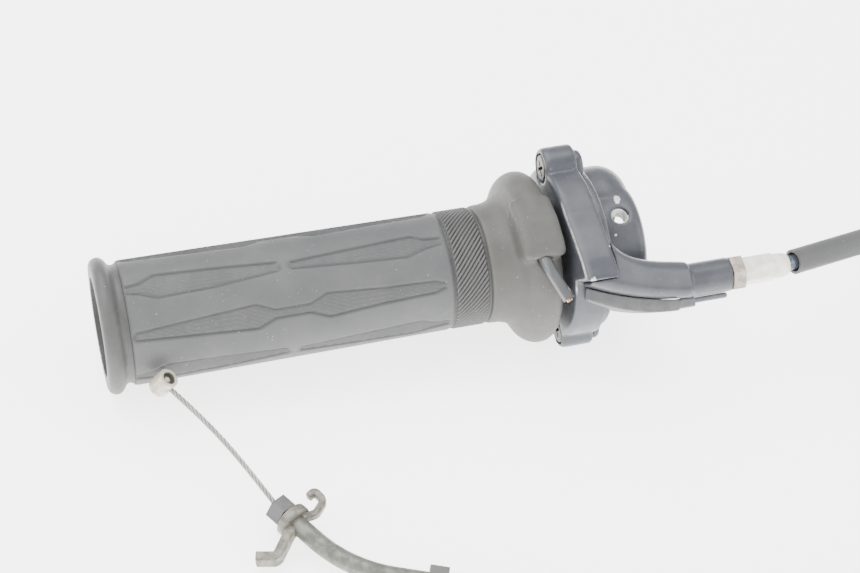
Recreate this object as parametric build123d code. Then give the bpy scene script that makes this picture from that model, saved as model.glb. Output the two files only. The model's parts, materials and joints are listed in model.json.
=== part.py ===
from build123d import *
import os
from math import atan, cos, degrees, pi, radians, sin, tan

# Right-hand motorcycle throttle grip with heated rubber, throttle housing and pull cable.
#
# The grip and its housing are drawn in the bar frame: x runs inboard along the handlebar
# from the housing's outboard face, y runs up through the two housing screws, and z runs
# forward to the side where the cable leaves the drum. One placement then lays them on the
# table, z = 0, resting on the grip's rim, the grip's flange and the lower screw lug.
# The far end of the cable is drawn on the table directly. All lengths are millimetres.

# ---- driving dimensions ----
bar_r = 11.1
housing_bore_r = bar_r + 0.05
tube_bore_r = bar_r + 0.2
tube_r = 13.0
running_gap = 0.1

grip_end_x = -127.1
flange_face_x = -2.1
rim_r = 18.7
sleeve_r = 17.1
neck_r = 16.5
flange_r = 24.4
film_r = tube_r + 0.35
lead_r, strand_r = 1.7, 0.9
lead_route = [(-8.8, 3.4, 22.2), (-7.8, -3.4, 24.7), (-3.9, -13.4, 27.0)]

drum_pitch_r = 19.6
wire_r = 0.75
drum_flange_r = drum_pitch_r + wire_r
drum_start_x, drum_end_x = 3.7, 9.5
drum_middle_x = (drum_start_x + drum_end_x) / 2
groove_width = 2.2
nipple_r, nipple_angle = 2.5, 25.0

cover_end_x = 9.5
cover_r = 24.2
cavity_r = drum_flange_r + 0.4
wall = 3.5
cavity_end_x = 10.2
body_start_x = cover_end_x + 0.1
body_end_x = 24.3
barrel_r, hump_r, hump_centre = 17.0, 13.6, (8.9, -1.4)
lug_body_end_x = 12.0
top_lug, top_lug_r = (23.6, 5.8), 5.7
low_lug, low_lug_r = (-21.9, -4.9), 5.4
screw_r, screw_head_r, screw_head_depth = 2.0, 3.9, 2.8
set_screw_hole_r, set_screw_x, set_screw_angle = 2.5, 17.9, 24.5

elbow_y, elbow_z, elbow_bend = -14.05, drum_pitch_r, 8.0
boss_r, boss_end_x = 4.75, 44.6
nut_length, nut_flats, nut_turn = 3.6, 9.0, 30.0
horn_end_x, strip_end_x = 32.0, 27.9
adjuster_end_x, adjuster_flats, adjuster_turn, adjuster_thread_r = 62.3, 7.0, 15.0, 3.0
collar_start_x = 57.5

roll_angle = 45.0
tilt_angle = degrees(atan((flange_r - rim_r) / 118.0))

casing_r = 2.75
sleeve_outer_r, sleeve_start, sleeve_end = 3.55, 2.2, 30.0
ferrule_length, ferrule_r = 18.5, 2.1
coil_centre = (131.0, -49.0, 6.4)
coil_r, coil_section_r = 33.0, 6.2
pipe_r = 2.5
end_nipple_r, end_nipple_length = 2.95, 6.2

# ---- placement of the bar frame on the table ----
axis_height = flange_r * cos(radians(tilt_angle)) + 7.0 * sin(radians(tilt_angle))
placement = Location((0, 0, axis_height)) * Rotation(0, -tilt_angle, 0) * Rotation(roll_angle, 0, 0)


def on_table(x, y, z):
    """The table point of a point given in the bar frame."""
    return (placement * Location((x, y, z))).position


# ---- building blocks in the bar frame ----
def slab(outline, start, end):
    """An outline drawn across the bar, extruded from one station to another."""
    return extrude(Plane.YZ.offset(start) * outline, end - start)


def disc(r, start, end, y=0.0, z=0.0):
    return slab(Pos(y, z) * Circle(r), start, end)


def ring(outer, inner, start, end):
    return disc(outer, start, end) - disc(inner, start - 1, end + 1)


def turned(*profile):
    """A closed outline of (x, radius) points turned about the bar."""
    return revolve(make_face(Polyline(*profile, close=True)), Axis.X)


def soften(solid, edges, *radii):
    """The solid with those edges rounded by the first radius that can be built."""
    for radius in radii:
        try:
            rounded = fillet(edges, radius)
        except (ValueError, RuntimeError):
            continue
        if rounded.is_valid:
            return rounded
    print("not rounded", radii)
    return solid


def hexagon(flats, length, turn=0.0):
    return extrude(RegularPolygon(flats / 2, 6, major_radius=False, rotation=turn), length)


def pointing(start, toward):
    """The plane at a point whose normal runs toward another point."""
    return Plane(origin=start, z_dir=Vector(*toward) - Vector(*start))


# ---- grip: everything that turns with the throttle ----
def make_rubber():
    profile = [
        (grip_end_x, 13.6), (grip_end_x, 17.4), (-126.7, 18.0), (-125.9, 18.5), (-124.9, rim_r),
        (-123.9, 18.5), (-123.1, 17.8), (-122.6, 17.0), (-122.1, 16.3), (-121.2, 16.1),
        (-120.5, 16.7), (-120.0, sleeve_r), (-32.0, neck_r), (-31.8, 15.8), (-31.1, 15.8),
        (-30.9, 16.5), (-22.1, 16.6), (-21.9, 15.9), (-21.2, 15.9), (-21.0, 16.7), (-17.6, 16.8),
        (-15.3, 17.4), (-13.9, 18.4), (-12.7, 20.3), (-11.6, 22.2), (-10.2, 23.4), (-8.8, 24.1),
        (-7.2, flange_r), (-5.4, 24.2), (-3.7, 23.2), (-2.6, 21.6), (flange_face_x, 19.6),
        (flange_face_x, 13.6),
    ]
    outline = [(17.5, 16.6), (9.5, 23.3), (3.0, 26.2), (-1.6, 27.0), (-1.6, 18.0), (10.0, 14.0)]
    boss = slab(make_face(Polyline(*outline, close=True)), -13.9, -1.8)
    boss = soften(boss, boss.edges(), 1.8, 1.2)
    core = disc(film_r + 0.05, grip_end_x - 1, 0)
    return turned(*profile) + boss - core - make_lead(lead_r + 0.02, 0, 0)


def make_film():
    return ring(film_r, tube_r + 0.05, -118, -24)


def make_lead(r, trim, extra):
    """A round length of the cut heater lead, started late by trim and ended late by extra."""
    route = [Vector(*point) for point in lead_route]
    start = route[0] + (route[1] - route[0]).normalized() * trim
    end = route[-1] + (route[-1] - route[-2]).normalized() * extra
    path = FilletPolyline(start, *route[1:-1], end, radius=6)
    return sweep(pointing(tuple(start), lead_route[1]) * Circle(r), path)


def make_tube():
    tube = ring(tube_r, tube_bore_r, -125.0, drum_end_x)
    drum = ring(drum_flange_r, tube_r - 0.5, drum_start_x, drum_end_x)
    groove = ring(30, drum_pitch_r - wire_r - 0.05, drum_middle_x - groove_width / 2,
                  drum_middle_x + groove_width / 2)
    return tube + drum - groove - nipple_barrel(nipple_r + 0.05)


def nipple_barrel(r):
    """The barrel on the wire's end, across the drum, turned back from where the wire leaves."""
    turn = radians(nipple_angle)
    nipple_reach = drum_flange_r - nipple_r - 0.6
    return disc(r, drum_start_x, drum_end_x, nipple_reach * sin(turn), nipple_reach * cos(turn))


def make_drum_wire():
    turns = (radians(share * (nipple_angle - 8.5)) for share in (0.05, 0.5, 1.0))
    start, half, end = ((drum_middle_x, drum_pitch_r * sin(turn), drum_pitch_r * cos(turn)) for turn in turns)
    path = ThreePointArc(start, half, end)
    return sweep(Plane(origin=start, z_dir=path % 0) * Circle(wire_r), path)


# ---- housing ----
def elbow_path(start_y, end_x):
    """The cable's way out of the drum: straight down the front, round the elbow, inboard."""
    return FilletPolyline(
        (drum_middle_x, start_y, elbow_z), (drum_middle_x, elbow_y, elbow_z), (end_x, elbow_y, elbow_z),
        radius=elbow_bend,
    )


def along_elbow(r, start_y, end_x):
    path = elbow_path(start_y, end_x)
    start = Plane(origin=path @ 0, z_dir=path % 0)
    return sweep(start * Circle(r), path)


def lug_outline(centre, r, reach):
    """A lug of the housing, from the bar's side out to its rounded end."""
    y, z = centre
    return make_hull((Pos(y, z) * Circle(r) + Pos(y * reach, z * reach) * Circle(r)).edges())


def make_cover():
    nose = make_face(Polyline((17.0, 16.9), (5.0, 25.4), (-3.6, 30.6), (-9.6, 33.0), (-9.6, 20.0), (8.0, 10.0),
                              close=True))
    outline = Circle(cover_r) + lug_outline(top_lug, top_lug_r, 0.6) + lug_outline(low_lug, low_lug_r, 0.6) + nose
    plate = slab(outline, 0, cover_end_x)
    rim = plate.faces().sort_by(Axis.X)[0].outer_wire().edges()
    plate = soften(plate, rim, 1.6, 1.2, 0.8)
    plate -= disc(cavity_r, wall, cavity_end_x)
    plate -= disc(tube_r + running_gap, -1, wall + 1)
    plate -= along_elbow(1.5, 0, 30)
    for y, z in (top_lug, low_lug):
        plate -= disc(screw_head_r + 0.3, -1, screw_head_depth + 0.3, y, z)
        plate -= disc(screw_r + 0.1, -1, cover_end_x + 1, y, z)
    return plate


def make_elbow():
    """The horn that carries the wire from the drum, round to the adjuster's boss."""
    upper = Spline((body_start_x, 0.5), (12.9, -3.2), (19.5, -6.3), (horn_end_x, -8.75))
    lower = Spline((horn_end_x, -18.65), (16.0, -15.9), (1.9, -10.6))
    sides = Polyline((1.9, -10.6), (1.9, -9.75), (body_start_x, -9.75), (body_start_x, 0.5))
    end = Line((horn_end_x, -8.75), (horn_end_x, -18.65))
    outline = make_face([upper, end, lower, sides.edges()[0], sides.edges()[1], sides.edges()[2]])
    horn = extrude(Pos(0, 0, 14.6) * outline, 18)
    horn -= Pos(17, -10, 36.2) * Rotation(0, 12.0, 0) * Box(60, 60, 15)
    rims = horn.faces().sort_by(Axis.Z)[-1].edges().filter_by(GeomType.LINE, reverse=True)
    horn = soften(horn, rims, 3.2, 2.4, 1.6, 1.0)
    return horn + disc(boss_r, horn_end_x - 0.1, boss_end_x, elbow_y, elbow_z)


def make_bulb():
    """The clamp round the bar: a barrel, and above it a hump with a domed end."""
    y, z = hump_centre
    barrel = disc(barrel_r, body_start_x, body_end_x)
    barrel = soften(barrel, barrel.faces().sort_by(Axis.X)[-1].edges(), 3.0, 2.0)
    hump = disc(hump_r, body_start_x, body_end_x + 0.5, y, z)
    hump = soften(hump, hump.faces().sort_by(Axis.X)[-1].edges(), 7.8, 6.0)
    return barrel + hump


def make_body():
    disc_outline = Circle(22.6) + lug_outline(top_lug, 3.8, 0.6) + lug_outline(low_lug, 4.2, 0.6)
    back = slab(disc_outline, body_start_x, lug_body_end_x)
    back = soften(back, back.faces().sort_by(Axis.X)[-1].edges(), 1.2, 0.8)
    body = back + make_bulb() + make_elbow()
    body -= disc(cover_r + 0.15, -1, body_start_x)
    body -= disc(cavity_r, 0, cavity_end_x)
    body -= disc(housing_bore_r, 0, body_end_x + 2)
    body -= along_elbow(1.5, 0, boss_end_x + 1)
    body -= disc(adjuster_thread_r + 0.05, 34, boss_end_x + 1, elbow_y, elbow_z)
    for y, z in (top_lug, low_lug):
        body -= disc(screw_r + 0.05, 0, lug_body_end_x + 1, y, z)
    return body - set_screw_hole()


def set_screw_hole():
    turn = radians(set_screw_angle)
    outward = (0, sin(turn), cos(turn))
    return Plane(origin=(set_screw_x, 0, 0), z_dir=outward) * extrude(Circle(set_screw_hole_r), 40)


def make_guide_cover():
    upper = Spline((strip_end_x, -18.5), (16.0, -16.1), (2.6, -11.2))
    lower = Spline((2.6, -14.6), (10.0, -18.1), (19.0, -20.7), (strip_end_x, -21.6))
    ends = [Line((2.6, -11.2), (2.6, -14.6)), Line((strip_end_x, -21.6), (strip_end_x, -18.5))]
    strip = extrude(Pos(0, 0, 11.0) * make_face([upper, ends[0], lower, ends[1]]), 12.0)
    strip -= disc(cover_r + 0.15, -1, body_start_x)
    return strip - disc(22.75, body_start_x - 0.1, lug_body_end_x + 0.15)


def make_guide_clip():
    block = Pos(30.9, -20.0, 16.5) * Box(5.8, 2.2, 5)
    tongue = Pos(38.6, -19.7, 16.5) * Box(9.8, 1.0, 4.4)
    return block + tongue


def make_screw(y, z):
    head = disc(screw_head_r, 0.2, screw_head_depth, y, z)
    head = soften(head, head.faces().sort_by(Axis.X)[0].edges(), 0.8)
    shank = disc(screw_r, screw_head_depth, lug_body_end_x - 0.4, y, z)
    slots = Pos(0.6, y, z) * (Box(2.4, 4.6, 0.9) + Box(2.4, 0.9, 4.6))
    return head + shank - slots


def make_lock_nut():
    start = boss_end_x + 0.1
    blank = Plane.YZ.offset(start) * Pos(elbow_y, elbow_z) * hexagon(nut_flats, nut_length, nut_turn)
    return blank - disc(adjuster_thread_r + 0.05, start - 1, start + nut_length + 1, elbow_y, elbow_z)


def make_adjuster():
    """The hexagon barrel, its thread in the boss and the collar that the cable goes into."""
    start = boss_end_x + nut_length + 0.2
    y, z = elbow_y, elbow_z
    blank = Plane.YZ.offset(start) * Pos(y, z) * hexagon(adjuster_flats, collar_start_x - start, adjuster_turn)
    collar = turned((collar_start_x, 0), (collar_start_x, 3.5), (60.6, 3.4), (61.7, 3.1), (adjuster_end_x, 2.65),
                    (adjuster_end_x, 0))
    thread = disc(adjuster_thread_r, 36, start + 1, y, z)
    bore = disc(wire_r + 0.35, 30, adjuster_end_x + 1, y, z)
    socket = disc(ferrule_r + 0.2, adjuster_end_x - 3.0, adjuster_end_x + 1, y, z)
    return blank + Pos(0, y, z) * collar + thread - bore - socket


# ---- cable, on the table ----
def cable_start():
    return Vector(*on_table(adjuster_end_x, elbow_y, elbow_z))


cable_heading = Vector(0.976, 0.215, -0.03).normalized()


def along_cable(distance):
    return cable_start() + cable_heading * distance


def cylinder_along(r, start, end):
    """A round bar from one point to another."""
    return pointing(tuple(start), tuple(end)) * extrude(Circle(r), (end - start).length)


def bend_radii(points):
    """For each corner, 0.45 of the shorter run beside it over the tangent of half its turn."""
    radii = []
    for before, at, after in zip(points, points[1:], points[2:]):
        run_in, run_out = Vector(*at) - Vector(*before), Vector(*after) - Vector(*at)
        turn = radians(run_in.get_angle(run_out))
        radii.append(0.45 * min(run_in.length, run_out.length) / tan(turn / 2))
    return radii


def make_hose(name, points, r):
    radii = bend_radii(points)
    path = FilletPolyline(*points, radius=radii)
    hose = sweep(pointing(points[0], points[1]) * Circle(r), path)
    print(name, "length", round(path.length, 1), "radii", [round(value) for value in radii],
          "volume over section times length", round(hose.volume / (pi * r * r * path.length), 3))
    return hose


upper_route = [
    tuple(along_cable(ferrule_length)), tuple(along_cable(44.0)),
    (130.0, -14.8, 27.3), (151.0, -23.0, 21.0), (163.0, -41.5, 14.5), (161.0, -64.0, 8.5),
]
lower_route = [
    (143.4, -79.6, 4.5), (122.0, -89.5, 3.4), (98.0, -101.5, 3.0), (70.0, -112.5, 2.9), (40.0, -118.5, 2.9),
    (9.0, -116.5, 2.9), (-21.0, -107.8, 2.9), (-40.5, -98.8, 4.5), (-54.3, -93.2, 4.8),
]


def make_coil():
    x, y, z = coil_centre
    return Pos(x, y, z) * Torus(coil_r, coil_section_r)


def make_sleeve():
    outer = cylinder_along(sleeve_outer_r, along_cable(sleeve_start), along_cable(sleeve_end))
    return outer - cylinder_along(casing_r + 0.05, along_cable(sleeve_start - 1), along_cable(sleeve_end + 1))


def make_casing_ferrule():
    """The casing's end piece, seated in the adjuster and bent to the cable's heading."""
    seat = Vector(*on_table(adjuster_end_x - 2.9, elbow_y, elbow_z))
    path = FilletPolyline(tuple(seat), tuple(cable_start()), tuple(along_cable(ferrule_length)), radius=5)
    start = pointing(tuple(seat), tuple(cable_start()))
    return sweep(start * Circle(ferrule_r), path) - sweep(start * Circle(wire_r + 0.2), path)


# ---- far end of the cable ----
hex_ferrule_start = Vector(*lower_route[-1])
hex_ferrule_heading = (hex_ferrule_start - Vector(*lower_route[-2])).normalized()
hex_ferrule_length, hex_ferrule_flats = 5.0, 8.2
pipe_end = hex_ferrule_start + hex_ferrule_heading * hex_ferrule_length
pipe_corner = pipe_end + hex_ferrule_heading * 19.8
pipe_mouth = Vector(-91.0, -61.1, 6.5)
end_nipple_centre = Vector(-113.2, -21.8, 16.5)
pipe_heading = (pipe_corner - pipe_mouth).normalized()
end_nut_length, end_nut_flats = 4.4, 6.9
bracket_roll, bracket_offset = 11.0, 6.1


def make_pipe():
    path = FilletPolyline(pipe_mouth + pipe_heading * 0.6, pipe_corner, pipe_end, radius=35)
    start = pointing(tuple(path @ 0), tuple(pipe_corner))
    return sweep(start * Circle(pipe_r), path) - sweep(start * Circle(wire_r + 0.3), path)


def make_end_nut():
    plane = pointing(tuple(pipe_mouth), tuple(pipe_corner))
    blank = plane * hexagon(end_nut_flats, end_nut_length)
    return blank - plane * extrude(Circle(pipe_r + 0.03), end_nut_length)


def bracket_plane():
    """Across the pipe behind the nut, rolled so that the outboard foot is the lower one."""
    sideways = pipe_heading.cross(Vector(0, 0, 1)).normalized() * -1
    up = sideways.cross(pipe_heading).normalized()
    if up.Z < 0:
        up = up * -1
    across = sideways * cos(radians(bracket_roll)) + up * sin(radians(bracket_roll))
    normal = across.cross(pipe_heading)
    return Plane(origin=pipe_mouth + pipe_heading * bracket_offset, x_dir=across, z_dir=normal)


def make_bracket():
    """The stamped stay: a foot, a web round the pipe and a thinner curled hook."""
    plane = bracket_plane()
    foot = FilletPolyline((-14.0, 1.4), (-10.4, 5.2), (-3.4, 2.2), (2.4, 1.0), radius=[1.6, 3.0])
    hook = FilletPolyline((1.6, 1.0), (5.4, 2.9), (9.4, 1.6), (9.8, -2.2), (7.6, -2.2), radius=[1.6, 1.8, 1.0])
    blade = extrude(trace(foot, 2.2), 1.8, both=True) + extrude(trace(hook, 1.5), 1.0, both=True)
    hub = Rotation(90, 0, 0) * Cylinder(4.5, 2.0)
    bracket = plane * (blade + hub)
    return bracket - cylinder_along(pipe_r + 0.03, pipe_mouth - pipe_heading, pipe_mouth + pipe_heading * 20)


def make_hex_ferrule():
    return pointing(tuple(hex_ferrule_start), tuple(pipe_end)) * hexagon(hex_ferrule_flats, hex_ferrule_length)


def wire_points():
    """The bare wire, sprung up a little between the pipe's mouth and the nipple."""
    start = pipe_mouth + pipe_heading * 0.6
    chord = end_nipple_centre - start
    up = Vector(0.55, 0.35, 0.75).normalized()
    spring = [(0.25, 1.0), (0.5, 1.5), (0.75, 1.1)]
    return [start, *(start + chord * share + up * rise for share, rise in spring), end_nipple_centre]


def make_inner_wire():
    points = wire_points()
    last = points[-1] + (points[-2] - points[-1]).normalized() * (end_nipple_r + 0.05)
    route = [tuple(point) for point in points[:-1]] + [tuple(last)]
    return make_hose("inner_wire", route, wire_r)


def end_nipple_plane():
    along_wire = (end_nipple_centre - pipe_mouth).normalized()
    rough = Vector(0.72, 0.60, 0.35)
    axis = (rough - along_wire * rough.dot(along_wire)).normalized()
    return Plane(origin=end_nipple_centre - axis * (end_nipple_length / 2), z_dir=axis)


def make_end_nipple():
    plane = end_nipple_plane()
    barrel = extrude(Circle(end_nipple_r), end_nipple_length)
    barrel = soften(barrel, barrel.edges().filter_by(GeomType.CIRCLE), 0.4)
    recess = Pos(0, 0, end_nipple_length - 1.6) * extrude(Circle(1.5), 3)
    return plane * (barrel - recess)


# ---- every piece, by name ----
bar_pieces = {
    "grip_rubber": make_rubber(),
    "heater_film": make_film(),
    "heater_lead": make_lead(lead_r, 0, 0) - make_lead(strand_r, 0.5, 1),
    "heater_lead_core": make_lead(strand_r, 0.5, 0.7),
    "throttle_tube": make_tube(),
    "drum_nipple": nipple_barrel(nipple_r),
    "drum_wire": make_drum_wire(),
    "drum_washer": ring(19.0, 11.8, drum_end_x + 0.05, cavity_end_x - 0.05),
    "housing_cover": make_cover(),
    "housing_body": make_body(),
    "cable_guide_cover": make_guide_cover(),
    "guide_clip": make_guide_clip(),
    "housing_screws": Compound(children=[make_screw(*top_lug), make_screw(*low_lug)]),
    "elbow_wire": along_elbow(wire_r, 0, adjuster_end_x - 1.9),
    "lock_nut": make_lock_nut(),
    "cable_adjuster": make_adjuster(),
}
cable_pieces = {
    "casing_ferrule": make_casing_ferrule(),
    "cable_sleeve": make_sleeve(),
    "cable_casing_upper": make_hose("upper", upper_route, casing_r),
    "cable_coil": make_coil(),
    "cable_casing_lower": make_hose("lower", lower_route, casing_r),
    "hex_ferrule": make_hex_ferrule(),
    "guide_pipe": make_pipe(),
    "cable_bracket": make_bracket(),
    "pipe_nut": make_end_nut(),
    "inner_wire": make_inner_wire(),
    "end_nipple": make_end_nipple(),
}

os.makedirs("parts", exist_ok=True)

# The origin is on the table, under the middle of the grip and its housing.
on_the_table = {name: placement * solid for name, solid in bar_pieces.items()}
boxes = [solid.bounding_box() for solid in on_the_table.values()]
low = [min(getattr(box.min, axis) for box in boxes) for axis in "XYZ"]
high = [max(getattr(box.max, axis) for box in boxes) for axis in "XYZ"]
origin = Pos(-(low[0] + high[0]) / 2, -(low[1] + high[1]) / 2, -low[2])
print("origin moved by", [round(value, 4) for value in origin.position])
for name, solid in (on_the_table | cable_pieces).items():
    export_step(origin * solid, f"parts/{name}.step")
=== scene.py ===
import bpy
import json
import numpy as np
from math import cos, pi, radians, sin
from mathutils import Matrix, Vector


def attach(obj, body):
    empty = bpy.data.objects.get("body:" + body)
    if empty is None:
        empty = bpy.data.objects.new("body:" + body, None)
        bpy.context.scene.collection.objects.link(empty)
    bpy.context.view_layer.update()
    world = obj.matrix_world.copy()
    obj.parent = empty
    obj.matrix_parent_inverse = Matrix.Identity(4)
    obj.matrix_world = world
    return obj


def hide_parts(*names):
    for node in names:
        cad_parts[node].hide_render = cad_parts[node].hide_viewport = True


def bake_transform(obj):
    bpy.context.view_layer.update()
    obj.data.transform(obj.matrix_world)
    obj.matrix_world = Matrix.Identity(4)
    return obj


# Heated throttle grip with its housing and pull cable. Works in metres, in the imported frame.
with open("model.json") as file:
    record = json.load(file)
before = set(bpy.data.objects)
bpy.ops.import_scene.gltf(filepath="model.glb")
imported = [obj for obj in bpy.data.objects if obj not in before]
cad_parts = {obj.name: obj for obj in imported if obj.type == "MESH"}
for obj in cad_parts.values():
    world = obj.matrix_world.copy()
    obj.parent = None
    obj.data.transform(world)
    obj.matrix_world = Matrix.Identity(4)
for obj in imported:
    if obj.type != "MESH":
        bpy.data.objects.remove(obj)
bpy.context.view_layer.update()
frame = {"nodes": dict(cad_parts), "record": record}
mm = 0.001
record = frame["record"]


def linearColour(hexValue):
    channels = [int(hexValue[i:i + 2], 16) / 255 for i in (1, 3, 5)]
    return tuple(c / 12.92 if c <= 0.04045 else ((c + 0.055) / 1.055) ** 2.4
                 for c in channels) + (1.0,)


# Settings name the node's properties or inputs; links give the sockets that feed its inputs.
def addNode(tree, kind, settings=None, links=None):
    node = tree.nodes.new("ShaderNode" + kind)
    for key, value in (settings or {}).items():
        if isinstance(key, str) and hasattr(node, key):
            setattr(node, key, value)
        else:
            node.inputs[key].default_value = value
    for key, socket in (links or {}).items():
        tree.links.new(socket, node.inputs[key])
    return node


def newMaterial(name, settings):
    material = bpy.data.materials.new(name)
    material.use_nodes = True
    tree = material.node_tree
    surface = tree.nodes["Principled BSDF"]
    for key, value in settings.items():
        surface.inputs[key].default_value = value
    return material, tree, surface


def deselectAll():
    if bpy.context.object and bpy.context.object.mode != "OBJECT":
        bpy.ops.object.mode_set(mode="OBJECT")
    bpy.ops.object.select_all(action="DESELECT")


def makeActive(piece):
    deselectAll()
    piece.select_set(True)
    bpy.context.view_layer.objects.active = piece


def newPiece(name, mesh):
    piece = bpy.data.objects.new(name, mesh)
    bpy.context.scene.collection.objects.link(piece)
    return piece


def applyModifier(piece, kind, **settings):
    makeActive(piece)
    modifier = piece.modifiers.new(kind.title(), kind)
    for key, value in settings.items():
        setattr(modifier, key, value)
    bpy.ops.object.modifier_apply(modifier=modifier.name)


def finishPiece(piece, name, body, material, smoothAngle=40):
    piece.name = name
    piece.data.name = name
    piece.data.materials.clear()
    piece.data.materials.append(material)
    makeActive(piece)
    bpy.ops.object.shade_smooth_by_angle(angle=radians(smoothAngle))
    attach(piece, body)
    return piece


def recalculateNormals(piece, mergeDistance=0.00001):
    makeActive(piece)
    bpy.ops.object.mode_set(mode="EDIT")
    bpy.ops.mesh.select_all(action="SELECT")
    bpy.ops.mesh.remove_doubles(threshold=mergeDistance)
    bpy.ops.mesh.normals_make_consistent(inside=False)
    bpy.ops.object.mode_set(mode="OBJECT")


def readCoords(mesh):
    coords = np.empty(len(mesh.vertices) * 3)
    mesh.vertices.foreach_get("co", coords)
    return coords.reshape(-1, 3)


def writeCoords(mesh, coords):
    mesh.vertices.foreach_set("co", coords.ravel())
    mesh.update()


# The bar frame, from the record: x inboard, y up through the screws, z to the cable's side.
twist = next(j for j in record["behaviour"]["joints"] if j["name"] == "throttle_twist")
screwHole = next(m for m in record["mounts"] if m["name"] == "set_screw_hole")
holeTurn = radians(24.5)
barX = -Vector(twist["axis"]).normalized()
holeAxis = Vector(screwHole["axis"]).normalized()
sideways = barX.cross(holeAxis)
barZ = cos(holeTurn) * holeAxis + sin(holeTurn) * sideways
barY = sin(holeTurn) * holeAxis - cos(holeTurn) * sideways
barOrigin = Vector(twist["pos_m"])
barTurn = Matrix((barX, barY, barZ)).transposed().to_4x4()
barMatrix = Matrix.Translation(barOrigin) @ barTurn
barToFrame = barMatrix @ Matrix.Scale(mm, 4)  # millimetres on the bar to metres in the frame


def onBar(x, y, z):
    return barMatrix @ Vector((x * mm, y * mm, z * mm))


camera = {
    "place": (-0.1392, -0.3802, 0.3952), "lens": 82.88, "sensor": 36.0, "near": 0.01, "far": 50.0,
    "right": (0.9605, -0.2666, 0.0799), "up": (0.1259, 0.6724, 0.7294),
}
lights = {
    "softBoxAbove": {"place": (-0.20, 0.30, 0.95), "aim": (0.03, 0.0, 0.02), "size": 1.1,
                     "power": 17.0},
    "softBoxLeft": {"place": (-0.95, -0.15, 0.60), "aim": (0.0, 0.0, 0.02), "size": 0.7,
                    "power": 5.5},
    "softBoxRight": {"place": (0.85, -0.40, 0.55), "aim": (0.05, 0.0, 0.02), "size": 0.7,
                     "power": 5.0},
    "softBoxFront": {"place": (-0.05, -1.00, 0.55), "aim": (0.03, 0.0, 0.02), "size": 0.9,
                     "power": 6.0},
}
# The glow keeps the paper close to white.
floorLook = {"colour": "#FBFBFA", "size": 6.0, "roughness": 0.6, "glow": 3.2}
roomLight = {"colour": "#F4F6FA", "strength": 1.15}


def makeCamera():
    right, up = Vector(camera["right"]).normalized(), Vector(camera["up"]).normalized()
    back = right.cross(up)
    data = bpy.data.cameras.new("studioCamera")
    data.lens = camera["lens"]
    data.sensor_width = camera["sensor"]
    data.clip_start = camera["near"]
    data.clip_end = camera["far"]
    seer = newPiece("studioCamera", data)
    turn = Matrix((right, up, back)).transposed().to_4x4()
    seer.matrix_world = Matrix.Translation(camera["place"]) @ turn
    bpy.context.scene.camera = seer


def makeStudio():
    deselectAll()
    bpy.ops.mesh.primitive_plane_add(size=floorLook["size"], location=(0, 0, 0))
    floor = bpy.context.object
    floor.name = "studioFloor"
    paper, tree, surface = newMaterial("studioPaper", {"Roughness": floorLook["roughness"]})
    surface.inputs["Base Color"].default_value = linearColour(floorLook["colour"])
    surface.inputs["Emission Color"].default_value = linearColour(floorLook["colour"])
    surface.inputs["Emission Strength"].default_value = floorLook["glow"]
    floor.data.materials.append(paper)
    for name, spec in lights.items():
        data = bpy.data.lights.new(name, "AREA")
        data.size = spec["size"]
        data.energy = spec["power"]
        lamp = newPiece(name, data)
        aim = Vector(spec["aim"]) - Vector(spec["place"])
        lamp.location = spec["place"]
        lamp.rotation_euler = aim.to_track_quat("-Z", "Y").to_euler()
    world = bpy.data.worlds.new("paleRoom")
    bpy.context.scene.world = world
    world.use_nodes = True
    sky = world.node_tree.nodes["Background"]
    sky.inputs["Color"].default_value = linearColour(roomLight["colour"])
    sky.inputs["Strength"].default_value = roomLight["strength"]


makeCamera()
makeStudio()
print("studio ready")


def objectPoint(tree):
    return addNode(tree, "TexCoord").outputs["Object"]


# How deep the point lies in a groove, as written on the mesh per point: the share of painted shade
# in grooves and recesses.
def paintedShadeShare(tree):
    return addNode(tree, "Attribute", {"attribute_name": "sunk"}).outputs["Fac"]


# Noise whose grains are about that many millimetres across.
def noise(tree, point, grainMm, detail=2.0, roughness=0.5):
    settings = {"Scale": 1000 / grainMm, "Detail": detail, "Roughness": roughness}
    return addNode(tree, "TexNoise", settings, {"Vector": point}).outputs["Fac"]


def ramp(tree, value, low, high, lowTo=0.0, highTo=1.0):
    settings = {"From Min": low, "From Max": high, "To Min": lowTo, "To Max": highTo}
    return addNode(tree, "MapRange", settings, {"Value": value}).outputs["Result"]


# Each colour is a hex value or a socket.
def mixColour(tree, share, first, second):
    node = addNode(tree, "Mix", {"data_type": "RGBA"}, {0: share})
    for index, colour in ((6, first), (7, second)):
        if isinstance(colour, str):
            node.inputs[index].default_value = linearColour(colour)
        else:
            tree.links.new(colour, node.inputs[index])
    return node.outputs[2]


# Each value is a number or a socket.
def combine(tree, operation, first, second):
    node = addNode(tree, "Math", {"operation": operation})
    for index, value in enumerate((first, second)):
        if isinstance(value, (int, float)):
            node.inputs[index].default_value = value
        else:
            tree.links.new(value, node.inputs[index])
    return node.outputs[0]


def bump(tree, height, depthMm, strength=1.0):
    settings = {"Strength": strength, "Distance": depthMm * mm}
    return addNode(tree, "Bump", settings, {"Height": height}).outputs["Normal"]


spotLook = {"ragged": 0.35, "softMm": 0.08, "grainShare": 0.9}  # how chips in the paint end


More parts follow.
